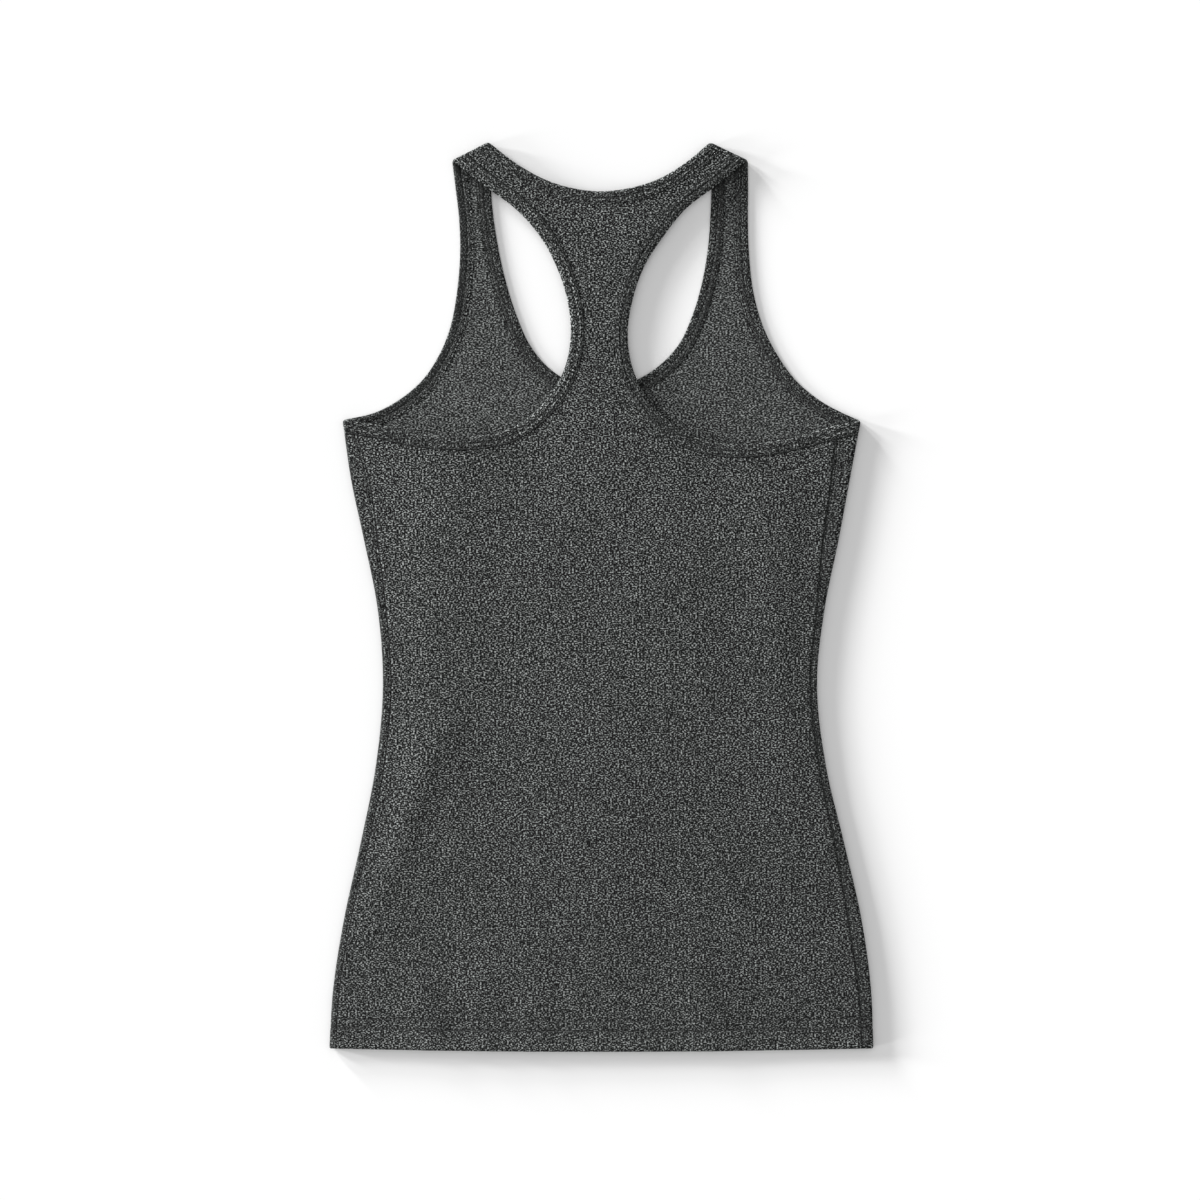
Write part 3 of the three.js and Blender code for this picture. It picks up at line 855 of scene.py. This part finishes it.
class Band:
    """A binding: a strip of cloth folded over an edge, in rings that close into a loop. Its runs are
    the back's edge, the shoulder fold or the first of two, the front's edge and the last fold."""

    def __init__(self, runs, sides, columns):
        across = np.concatenate([BINDING["across"], [0], BINDING["across"][::-1]])
        half = BINDING["half"] - PLY / 2
        lift = np.concatenate([half, [0], -half[::-1]])
        parts = [run(across) for run in runs]
        rings = np.concatenate(parts)
        lift = np.broadcast_to(lift, rings.shape[:2]).copy()
        start = len(parts[0]) + len(parts[1])
        self.flatten_inside(lift, start, len(parts[2]))
        self.mid = rings[..., MID] + lift[..., None] * rings[..., OUT]
        self.pressed = self.tightness_and_painted_light(parts, sides, columns)
        self.out = self.facing(self.mid, rings[:, 0, OUT])
        middle = self.mid[:, len(BINDING["half"]) // 2]
        along = distances_along(np.vstack([middle, middle[:1]]))
        width = distances_along(self.mid[len(self.mid) // 8])
        self.flat = np.stack(np.meshgrid(along[:-1], width, indexing="ij"), axis=-1)
        self.length = along[-1]

    def tightness_and_painted_light(self, parts, sides, columns):
        """How tightly the stitches press each place, with painted light and shade, from three of the
        section's columns: for the back's edge, for its end by the shoulder, and for the front's edge; and
        the painted shadow beside the back's edge where it lies over the front by each shoulder."""
        back, shoulder, front = (
            np.concatenate([BINDING[name], BINDING[name][-1:], BINDING[name][::-1]]) for name in columns
        )
        rising = (np.arange(len(parts[0])) - RACERBACK_STATION * BAND_STEPS) / (2 * BAND_STEPS)
        shares = (
            lerp(back, shoulder, smoothstep(rising + 0.5)[:, None]),
            (shoulder + front) / 2,
            front,
            (back + front) / 2,
        )
        found = [np.broadcast_to(share, part.shape[:2]).copy() for share, part in zip(shares, parts)]
        if len(sides) == 1:
            to_fold = np.arange(len(parts[2]))[::-1, None]
            found[2] += (1 - smoothstep(to_fold / FADING_RINGS)) * (back - front)
        start = len(parts[0]) + len(parts[1])
        # a painted shadow on the front's run beside the back's edge that lies over it at each shoulder
        for side in sides:
            found[2] += crossing_painted_shadow(side, self.mid[start : start + len(parts[2]), :, :2])
        return np.concatenate(found)

    @staticmethod
    def flatten_inside(lift, start, count):
        """Lay the ply inside the front down towards the panel, away from the folds."""
        ends = np.minimum(np.arange(count), np.arange(count)[::-1])
        share = 1 - INNER_FLATTENING * smoothstep(ends / FLATTENING_RINGS)
        inside = slice(len(BINDING["half"]) + 1, None)
        lift[start : start + count, inside] *= share[:, None]

    @staticmethod
    def facing(mid, outward):
        """The way out of the strip at every place, from its neighbours round the loop and across."""
        along = np.roll(mid, -1, axis=0) - np.roll(mid, 1, axis=0)
        across = np.gradient(mid, axis=1)
        out = unit(np.cross(along, across))
        return out if np.einsum("ij,ij->", out[:, 0], outward) > 0 else -out

    def cloth(self):
        rings = pressed(places(self.mid, self.out, PLY / 2, PLY / 2, self.flat), self.pressed)
        closing = rings[:1].copy()
        closing[..., FLAT] += [self.length, 0]
        cloth = Cloth()
        cloth.add(np.concatenate([rings, closing]))
        return cloth

    def row(self, across, face):
        """A line round the band on its outer or inner face, with the way out of the cloth."""
        column = int(np.argmin(np.abs(BINDING["across"] - across)))
        column = column if face == "outer" else -1 - column
        out = self.out[:, column]
        return self.mid[:, column] + PLY / 2 * out, out


def band_run(edge, layer):
    """Rings of a binding along one edge, on the upper or the lower layer."""

    def rings(across):
        points = edge.points[:, None] + across[:, None] * edge.across[:, None]
        if layer == "upper":
            return on_upper(points, 0, 0)
        return on_lower(points, BINDING_HALF, 0, 0)

    return rings


def band_fold(fold, upper, lower, end):
    """Rings of a binding round a fold, from the end of its upper edge to that of its lower one."""

    def rings(across):
        above, below = (
            edge.points[end] + across[:, None] * edge.across[end] for edge in (upper, lower)
        )
        return np.stack(fold_rows(fold, above, below, BINDING_HALF, 0))

    return rings


def backwards(run):
    return lambda across: run(across)[::-1]


def armhole_band(side):
    upper = back_armhole(side, BAND_DEPTH, BAND_STEPS)
    lower = front_armhole(side, BAND_DEPTH, BAND_DEPTH, BAND_STEPS)
    return Band(
        [
            band_run(upper, "upper"),
            band_fold(side.shoulder_fold, upper, lower, -1),
            backwards(band_run(lower, "lower")),
            backwards(band_fold(side.arm_fold, upper, lower, 0)),
        ],
        (side,),
        ("arm", f"racer_{side.name}", side.name),
    )


def neck_band():
    upper, lower = (neckline(edge, BAND_DEPTH, BAND_STEPS) for edge in (BACK_NECK, FRONT_NECK))
    return Band(
        [
            band_run(upper, "upper"),
            band_fold(RIGHT.shoulder_fold, upper, lower, -1),
            backwards(band_run(lower, "lower")),
            backwards(band_fold(LEFT.shoulder_fold, upper, lower, 0)),
        ],
        GARMENT_SIDES,
        ("nape", "nape", "neck"),
    )


class Stitches:
    """Short lengths of thread on lines over the cloth, joined into one piece."""

    # Along a stitch: the share of its length, of its thickness and of its rise off the cloth
    SHAPE = table("along thick rise", [0, 0.45, -1], [0.25, 1, 0.25], [0.75, 1, 0.25], [1, 0.45, -1])
    CORNERS = 6

    def __init__(self):
        self.starts, self.ends, self.outs = [], [], []

    def line(self, points, outs, closed=False):
        """A row of stitches, a pitch apart."""
        if closed:
            points, outs = np.vstack([points, points[:1]]), np.vstack([outs, outs[:1]])
        lengths = distances_along(points)
        count = round(lengths[-1] / STITCH_PITCH)
        pitch = lengths[-1] / count
        gap = (STITCH_PITCH - STITCH_LENGTH) / 2
        begin = np.arange(count) * pitch + gap
        self.starts.append(values_at(begin, lengths, points))
        self.ends.append(values_at(begin + pitch - 2 * gap, lengths, points))
        self.outs.append(unit(values_at(begin + pitch / 2, lengths, outs)))

    def level_line(self, points, height, way):
        """A row of stitches on an upper face, where way is 1, or on a lower one, where it is -1."""
        self.line(at_height(points, height), np.tile([0.0, 0.0, way], (len(points), 1)))

    def looper(self, first, second, outs):
        """A thread that crosses to and fro between two rows."""
        lengths = distances_along(first)
        count = round(lengths[-1] / STITCH_PITCH)
        marks = np.linspace(0, lengths[-1], 2 * count + 1)
        near, far, out = (values_at(marks, lengths, values) for values in (first, second, outs))
        zigzag = np.where((np.arange(len(marks)) % 2 == 0)[:, None], near, far)
        self.starts.append(zigzag[:-1])
        self.ends.append(zigzag[1:])
        self.outs.append(unit(out[:-1]))

    def build(self, name, material):
        start, end, out = (np.concatenate(part) for part in (self.starts, self.ends, self.outs))
        run = unit(end - start)
        side = unit(np.cross(run, out))
        up = np.cross(side, run)
        turn = np.arange(self.CORNERS) * 2 * math.pi / self.CORNERS
        rings = []
        for along, thick, rise in zip(*self.SHAPE.values()):
            centre = lerp(start, end, along) + rise * THREAD * up
            spokes = np.cos(turn)[:, None] * side[:, None] + np.sin(turn)[:, None] * up[:, None]
            rings.append(centre[:, None] + thick * THREAD * spokes)
        points = np.stack(rings, axis=1).reshape(-1, 3)
        per = len(rings) * self.CORNERS
        faces = []
        for ring in range(len(rings) - 1):
            for corner in range(self.CORNERS):
                a = ring * self.CORNERS + corner
                b = ring * self.CORNERS + (corner + 1) % self.CORNERS
                faces.append([a, a + self.CORNERS, b + self.CORNERS, b])
        caps = [list(range(self.CORNERS)), list(range(per - 1, per - 1 - self.CORNERS, -1))]
        every = [
            [corner + i * per for corner in face] for i in range(len(start)) for face in faces + caps
        ]
        return make_mesh(name, points, every, material)


class Material:
    """A material's node tree, with a short call for each kind of node."""

    def __init__(self, name):
        self.material = bpy.data.materials.new(name)
        self.material.use_nodes = True
        self.tree = self.material.node_tree
        self.shader = self.tree.nodes["Principled BSDF"]

    def put(self, socket, value):
        if isinstance(value, bpy.types.NodeSocket):
            self.tree.links.new(value, socket)
        else:
            socket.default_value = value

    def node(self, kind, inputs, give=0, **settings):
        made = self.tree.nodes.new(f"ShaderNode{kind}")
        for name, value in settings.items():
            setattr(made, name, value)
        for socket, value in dict(inputs).items():
            self.put(made.inputs[socket], value)
        return made.outputs[give]

    def math(self, operation, *values):
        return self.node("Math", enumerate(values), operation=operation)

    def scaled(self, vector, sizes):
        return self.node("VectorMath", {0: vector, 1: sizes}, operation="MULTIPLY")

    def axes(self, vector):
        """A vector's x and y."""
        x = self.node("SeparateXYZ", {0: vector})
        return x, x.node.outputs[1]

    def noise(self, vector, detail=0.0):
        inputs = {"Vector": vector, "Scale": 1.0, "Detail": detail}
        return self.node("TexNoise", inputs, noise_dimensions="2D")

    def grain(self, vector, size, detail=0.0):
        """Noise whose grain has this size across and up, in millimetres."""
        return self.noise(self.scaled(vector, (1 / (size[0] * MM), 1 / (size[1] * MM), 0)), detail)

    def wave(self, turns):
        return self.math("COSINE", self.math("MULTIPLY", turns, 2 * math.pi))

    def swing(self, noise, reach):
        """A factor about one that a noise moves this far up and down."""
        return self.span(noise, *NOISE_RANGE, 1 - reach, 1 + reach)

    def blend(self, share, a, b):
        return self.node("Mix", {0: share, 2: a, 3: b})

    def span(self, value, low, high, to_low=0.0, to_high=1.0):
        return self.node("MapRange", {1: low, 2: high, 3: to_low, 4: to_high, 0: value})

    def colour(self, value, tint):
        return self.node("VectorMath", {"Vector": tint, "Scale": value}, operation="SCALE")


# The knit: how far apart its columns and rows of stitches are, how steeply a V stitch's legs slant,
# how deep the valley between them is, and how far the purl side's rows wave
WALE = 0.8
COURSE = 0.62
LEG_SLANT = 1.4
VALLEY = -0.5
PURL_WAVE = 0.22
# The heather's darkest and lightest yarn outside and inside, and its slightly green grey tint
DARK_YARN = (0.004, 0.009)
LIGHT_YARN = (0.38, 0.33)
TINT = (0.972, 1.02, 1.0)
# The grain of its fibres outside and inside, and the waves that shift the flecks inside
FLECK = (1.3, 0.84)
INNER_FLECK = (1.4, 0.78)
WAVE_GRAIN = (4.5, 4.5)
WAVE_SHIFT = 0.9
# How fast the yarn changes along a course and from one course to the next, and its part in a fleck
YARN_RUN = 0.55
YARN_STEP = 7.31
YARN_PART = 0.28
# Where the fleck is wholly dark outside and inside, where it is wholly light, and its contrast
WHOLLY_DARK = (0.44, 0.42)
WHOLLY_LIGHT = 0.76
CONTRAST = (1.75, 1.55)
# What stitches that press the cloth flat, and the light and shade painted with them, do to its lightest
# and darkest yarn
PRESSED_AND_SHADED_LIGHT = -0.235
PRESSED_AND_SHADED_DARK = 0.003
# Painted light: the cloth is a little lighter to the left, where the light falls; it is also darker and
# more even from this height down to the hem
PAINTED_LIGHT_LEFT = 0.07
PAINTED_LIGHT_REACH = 0.16
HEM_EVENNESS = 0.14
EVEN_HEIGHT = 0.4
EVEN_DARK = 0.02
# Broad and cloudy changes in lightness: their grain and how far each goes
NOISE_RANGE = (0.3, 0.7)
BROAD_GRAIN, BROAD_SWING = (50, 50), 0.05
CLOUD_GRAIN, CLOUD_SWING = (9, 5.5), 0.13
# The fuzz on the stitches, and the relief of both
FUZZ_GRAIN = (0.35, 0.35)
FUZZ_RELIEF = 0.8
RELIEF = {"Strength": 0.35, "Distance": 0.12 * MM}


def knit(name, tone):
    """Heather jersey: dark and light fibres spun together, V stitches outside and purl inside."""
    m = Material(name)
    flat = m.node("UVMap", {}, uv_map="flat")
    inner = m.node("Attribute", {}, give="Fac", attribute_name="inner")
    # how pressed each place is, with the light and shade painted on it
    tight_and_painted_light = m.node("Attribute", {}, give="Fac", attribute_name="pressed")
    across, up = m.axes(flat)
    u, v = m.axes(m.scaled(flat, (1 / (WALE * MM), 1 / (COURSE * MM), 0)))

    # V stitches: two slanting legs a column, and the purl side's arcs
    leg = m.math("ABSOLUTE", m.math("SUBTRACT", m.math("FRACT", u), 0.5))
    slant = m.math("MULTIPLY_ADD", leg, LEG_SLANT, v)
    face = m.math("MULTIPLY_ADD", m.wave(leg), VALLEY, m.wave(slant))
    bend = m.math("MULTIPLY", m.math("SINE", m.math("MULTIPLY", u, 2 * math.pi)), PURL_WAVE)
    height = m.blend(inner, face, m.wave(m.math("ADD", v, bend)))

    # Fibres: worms in all directions, and flecks that follow the yarn along each course
    waves = m.grain(flat, WAVE_GRAIN)
    shift = m.node("CombineXYZ", {1: m.math("MULTIPLY", waves, WAVE_SHIFT * MM)})
    wavy = m.node("VectorMath", {0: flat, 1: shift}, operation="ADD")
    worm = m.blend(inner, m.grain(flat, FLECK), m.grain(wavy, INNER_FLECK))
    course = m.math("FLOOR", m.math("ADD", slant, 0.5))
    run, step = m.math("MULTIPLY", u, YARN_RUN), m.math("MULTIPLY", course, YARN_STEP)
    yarn = m.noise(m.node("CombineXYZ", {0: run, 1: step}))
    fibre = m.math("MULTIPLY_ADD", yarn, YARN_PART, m.math("MULTIPLY", worm, 1 - YARN_PART))
    fleck = m.span(fibre, m.blend(inner, *WHOLLY_DARK), WHOLLY_LIGHT)
    fleck = m.math("POWER", fleck, m.blend(inner, *CONTRAST))

    # The yarn's colours: where it is pressed and where light and shade are painted on it, towards the
    # hem, and over the whole cloth with painted light to the left
    even = m.span(up, 0, EVEN_HEIGHT, HEM_EVENNESS, 0)
    kept = m.math("MULTIPLY_ADD", tight_and_painted_light, PRESSED_AND_SHADED_LIGHT, 1.0)
    light = m.math("MULTIPLY", m.math("SUBTRACT", 1.0, even), m.blend(inner, *LIGHT_YARN))
    light = m.math("MULTIPLY", kept, light)
    squeezed_and_painted_shade = m.math("MAXIMUM", tight_and_painted_light, 0.0)
    dark = m.math("MULTIPLY_ADD", squeezed_and_painted_shade, PRESSED_AND_SHADED_DARK, m.blend(inner, *DARK_YARN))
    dark = m.math("MULTIPLY_ADD", even, EVEN_DARK, dark)
    value = m.span(fleck, 0, 1, dark, light)
    for factor in (
        m.swing(m.grain(flat, BROAD_GRAIN, 2.0), BROAD_SWING),
        m.swing(m.grain(flat, CLOUD_GRAIN, 1.0), CLOUD_SWING),
        # painted light: lighter to the left, where the light falls
        m.span(across, -PAINTED_LIGHT_REACH, PAINTED_LIGHT_REACH, 1 + PAINTED_LIGHT_LEFT, 1 - PAINTED_LIGHT_LEFT),
        tone,
    ):
        value = m.math("MULTIPLY", value, factor)
    m.put(m.shader.inputs["Base Color"], m.colour(value, TINT))

    fuzz = m.grain(flat, FUZZ_GRAIN, 2.0)
    bump = m.node("Bump", {**RELIEF, "Height": m.math("MULTIPLY_ADD", fuzz, FUZZ_RELIEF, height)})
    m.put(m.shader.inputs["Normal"], bump)
    m.put(m.shader.inputs["Roughness"], m.span(fuzz, 0, 1, 0.85, 1.0))
    m.shader.inputs["Specular IOR Level"].default_value = 0.05
    return m.material


# The thread: the scale of its twist, its lightness and roughness at both ends, and its relief
TWIST_SCALE = 2600.0
THREAD_SHADE = (0.012, 0.05)
THREAD_ROUGHNESS = (0.55, 0.75)
THREAD_RELIEF = {"Strength": 0.4, "Distance": 0.05 * MM}


def thread(name):
    """Sewing thread: near black, with a little sheen and its twist."""
    m = Material(name)
    place = m.node("NewGeometry", {}, give="Position")
    twist = m.node("TexNoise", {"Vector": place, "Scale": TWIST_SCALE, "Detail": 1.0})
    shade = m.span(twist, *NOISE_RANGE, *THREAD_SHADE)
    m.put(m.shader.inputs["Base Color"], m.colour(shade, TINT))
    m.put(m.shader.inputs["Roughness"], m.span(twist, *NOISE_RANGE, *THREAD_ROUGHNESS))
    bump = m.node("Bump", {**THREAD_RELIEF, "Height": twist})
    m.put(m.shader.inputs["Normal"], bump)
    m.shader.inputs["Specular IOR Level"].default_value = 0.35
    return m.material


def add_cloth(name, cloth, material, node):
    """A sheet of cloth that stands for a solid, which it hides; its flat cut and area are printed."""
    piece, flat, area = cloth.build(name, material)
    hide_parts(node)
    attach(piece, "root")
    print(name, "flat", [round(x, 4) for x in flat], "area", round(area, 5))
    return piece


def add_stitches(name, stitches):
    piece = stitches.build(name, THREAD_LOOK)
    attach(piece, "root")
    return piece


def band_stitches(band):
    """Two needle rows on each layer's outer face, and the looper's thread on its inner face."""
    stitches = Stitches()
    rows = {
        face: [band.row(across, face) for across in BINDING_STITCH_ROWS] for face in ("outer", "inner")
    }
    for points, outs in rows["outer"]:
        stitches.line(points, outs, closed=True)
    (first, outs), (second, _) = rows["inner"]
    stitches.looper(first, second, outs)
    return stitches


def side_stitches():
    """Two needle rows up each side seam, from the hem to the armhole binding."""
    stitches = Stitches()
    for side in GARMENT_SIDES:
        top = panel_edge(back_armhole(side))[SEAM_STATION * STATION_STEPS, 1]
        heights = np.linspace(HEM_RISE + 1, top - 1, SEAM_LINE_POINTS)
        for past in (-SEAM_ROW, SEAM_ROW):
            points = np.stack([side.seam(heights) + side.inward * past, heights], axis=1)
            sunk = CLOTH / 2 + bumps(past, SEAM_SECTION)
            stitches.level_line(points, upper_height(points) + sunk, 1.0)
    return stitches


def hem_stitches():
    """Two needle rows above the hem, on the back and on the front."""
    stitches = Stitches()
    shares = np.linspace(0, 1, HEM_LINE_POINTS)
    for above in HEM_STITCH_ROWS:
        heights = hem_rise(shares) + above
        sunk = np.interp(above, HEM["height"], HEM["outer"])
        left, right = (side.fold(heights) + side.inward * PANEL_DEPTH for side in GARMENT_SIDES)
        points = np.stack([lerp(left, right, shares), heights], axis=1)
        stitches.level_line(points, upper_height(points) + sunk, 1.0)
        stitches.level_line(points, CLOTH / 2 - sunk + THREAD, -1.0)
    return stitches


# The garment
KNIT = knit("heather_knit", 1.0)
BAND_KNIT = knit("heather_binding", 0.97)
THREAD_LOOK = thread("sewing_thread")

FLOOR = "floor"
front = add_cloth("front", front_cloth(), KNIT, "front_panel")
back = add_cloth("back", back_cloth(), KNIT, "back_panel")
bands = {
    "neck_band": (neck_band(), "neck_binding"),
    "armhole_band_left": (armhole_band(LEFT), "armhole_binding_left"),
    "armhole_band_right": (armhole_band(RIGHT), "armhole_binding_right"),
}
for name, (band, node) in bands.items():
    add_cloth(name, band.cloth(), BAND_KNIT, node)
    add_stitches(f"{name}_stitches", band_stitches(band))
add_stitches("side_seam_stitches", side_stitches())
add_stitches("hem_stitches", hem_stitches())


# The studio: a pale floor, a white surround and four low soft lights from the left and above
FLOOR_REACH = 40
FLOOR_DROP = 0.0001
FLOOR_WHITE = (0.9, 0.9, 0.9, 1)
# The photograph's frame on the floor, at about 0.72 mm for each of its 1200 pixels
FRAME_WIDTH = 0.863
FRAME_MIDDLE = (-0.00097, -0.0023)


def add_floor():
    mesh = bpy.data.meshes.new(FLOOR)
    corners = [(-1, -1), (1, -1), (1, 1), (-1, 1)]
    points = [(x * FLOOR_REACH, y * FLOOR_REACH, -FLOOR_DROP) for x, y in corners]
    mesh.from_pydata(points, [], [[0, 1, 2, 3]])
    look = Material("pale_floor")
    look.put(look.shader.inputs["Base Color"], FLOOR_WHITE)
    look.put(look.shader.inputs["Roughness"], 1.0)
    look.shader.inputs["Specular IOR Level"].default_value = 0.0
    mesh.materials.append(look.material)
    floor = bpy.data.objects.new(FLOOR, mesh)
    bpy.context.scene.collection.objects.link(floor)


def add_surround(strength):
    world = bpy.data.worlds.new("surround")
    world.use_nodes = True
    world.node_tree.nodes["Background"].inputs["Color"].default_value = (1, 1, 1, 1)
    world.node_tree.nodes["Background"].inputs["Strength"].default_value = strength
    bpy.context.scene.world = world


def add_light(name, elevation, towards, spread, share):
    """A broad far light whose shadows fall towards this angle on the floor, and the share of full
    white that it gives a white floor."""
    lamp = bpy.data.lights.new(name, "SUN")
    lamp.energy = share * math.pi / math.sin(math.radians(elevation))
    lamp.angle = math.radians(spread)
    light = bpy.data.objects.new(name, lamp)
    light.rotation_euler = (0, math.radians(elevation - 90), math.radians(towards))
    bpy.context.scene.collection.objects.link(light)


def add_camera():
    """Straight above the photograph's frame."""
    data = bpy.data.cameras.new("camera")
    data.lens, data.sensor_width = 85, 36
    camera = bpy.data.objects.new("camera", data)
    distance = FRAME_WIDTH * data.lens / data.sensor_width
    camera.location = (*FRAME_MIDDLE, distance + UPPER * MM)
    bpy.context.scene.collection.objects.link(camera)
    bpy.context.scene.camera = camera


add_floor()
add_surround(0.61)
add_light("right_key", elevation=6.5, towards=-14, spread=6, share=0.13)
add_light("low_key", elevation=7, towards=-48, spread=6, share=0.12)
add_light("side_key", elevation=8, towards=16, spread=9, share=0.07)
add_light("soft_key", elevation=10.5, towards=-34, spread=9, share=0.19)
add_camera()
bpy.context.scene.view_settings.view_transform = "Standard"
